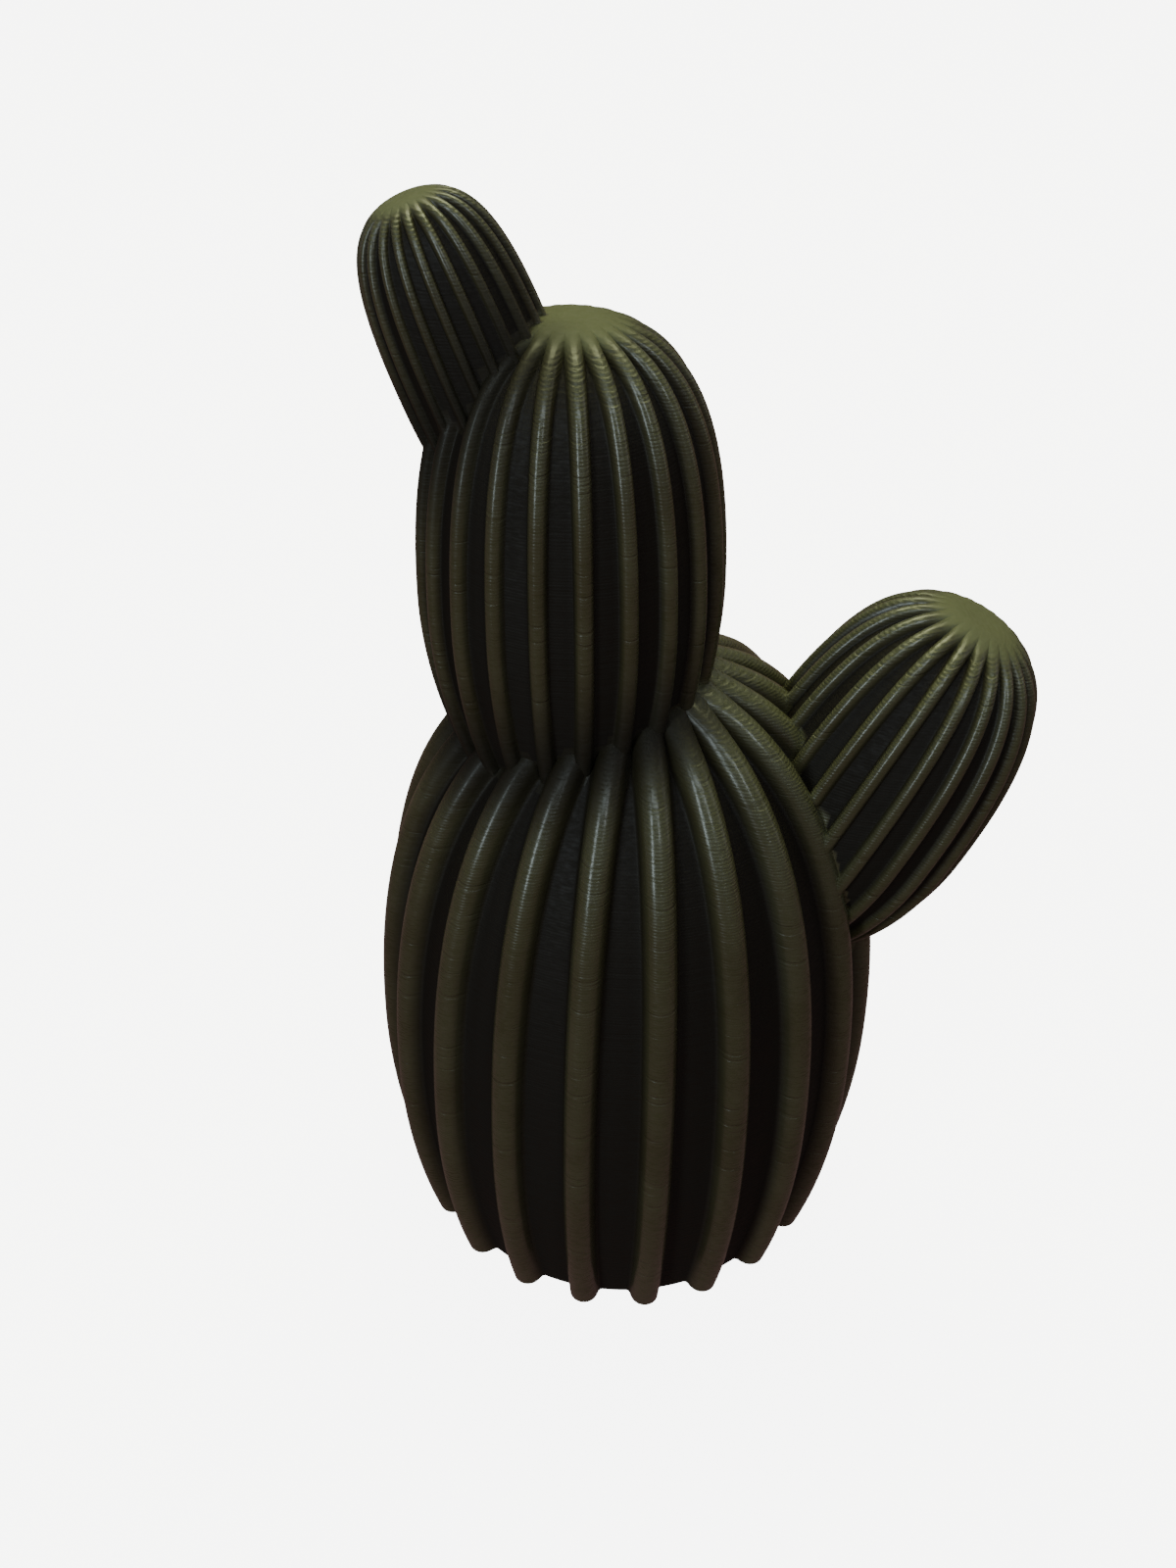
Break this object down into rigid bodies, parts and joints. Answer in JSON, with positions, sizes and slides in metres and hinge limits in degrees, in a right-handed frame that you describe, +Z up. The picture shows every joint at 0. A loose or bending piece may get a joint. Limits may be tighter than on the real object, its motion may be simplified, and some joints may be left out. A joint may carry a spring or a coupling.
{
  "type": "ribbed cactus figurine",
  "caption": "Free-standing olive plastic figurine of a ribbed cactus, with a cut base, a middle lobe, a leaning bud and a side arm fused in one piece.",
  "frame": {"origin": "on the main body's own axis, in the plane of the flat base", "axes": "+Z up along the main body's axis, +X towards the side that the arm leans to, -Y towards the viewer"},
  "size_m": [0.0572, 0.046, 0.0997],
  "materials": {
    "olive_plastic": "satin, printed in fine flat layers"
  },
  "bodies": {
    "root": {"cactus_figure": "olive_plastic"}
  },
  "joints": []
}
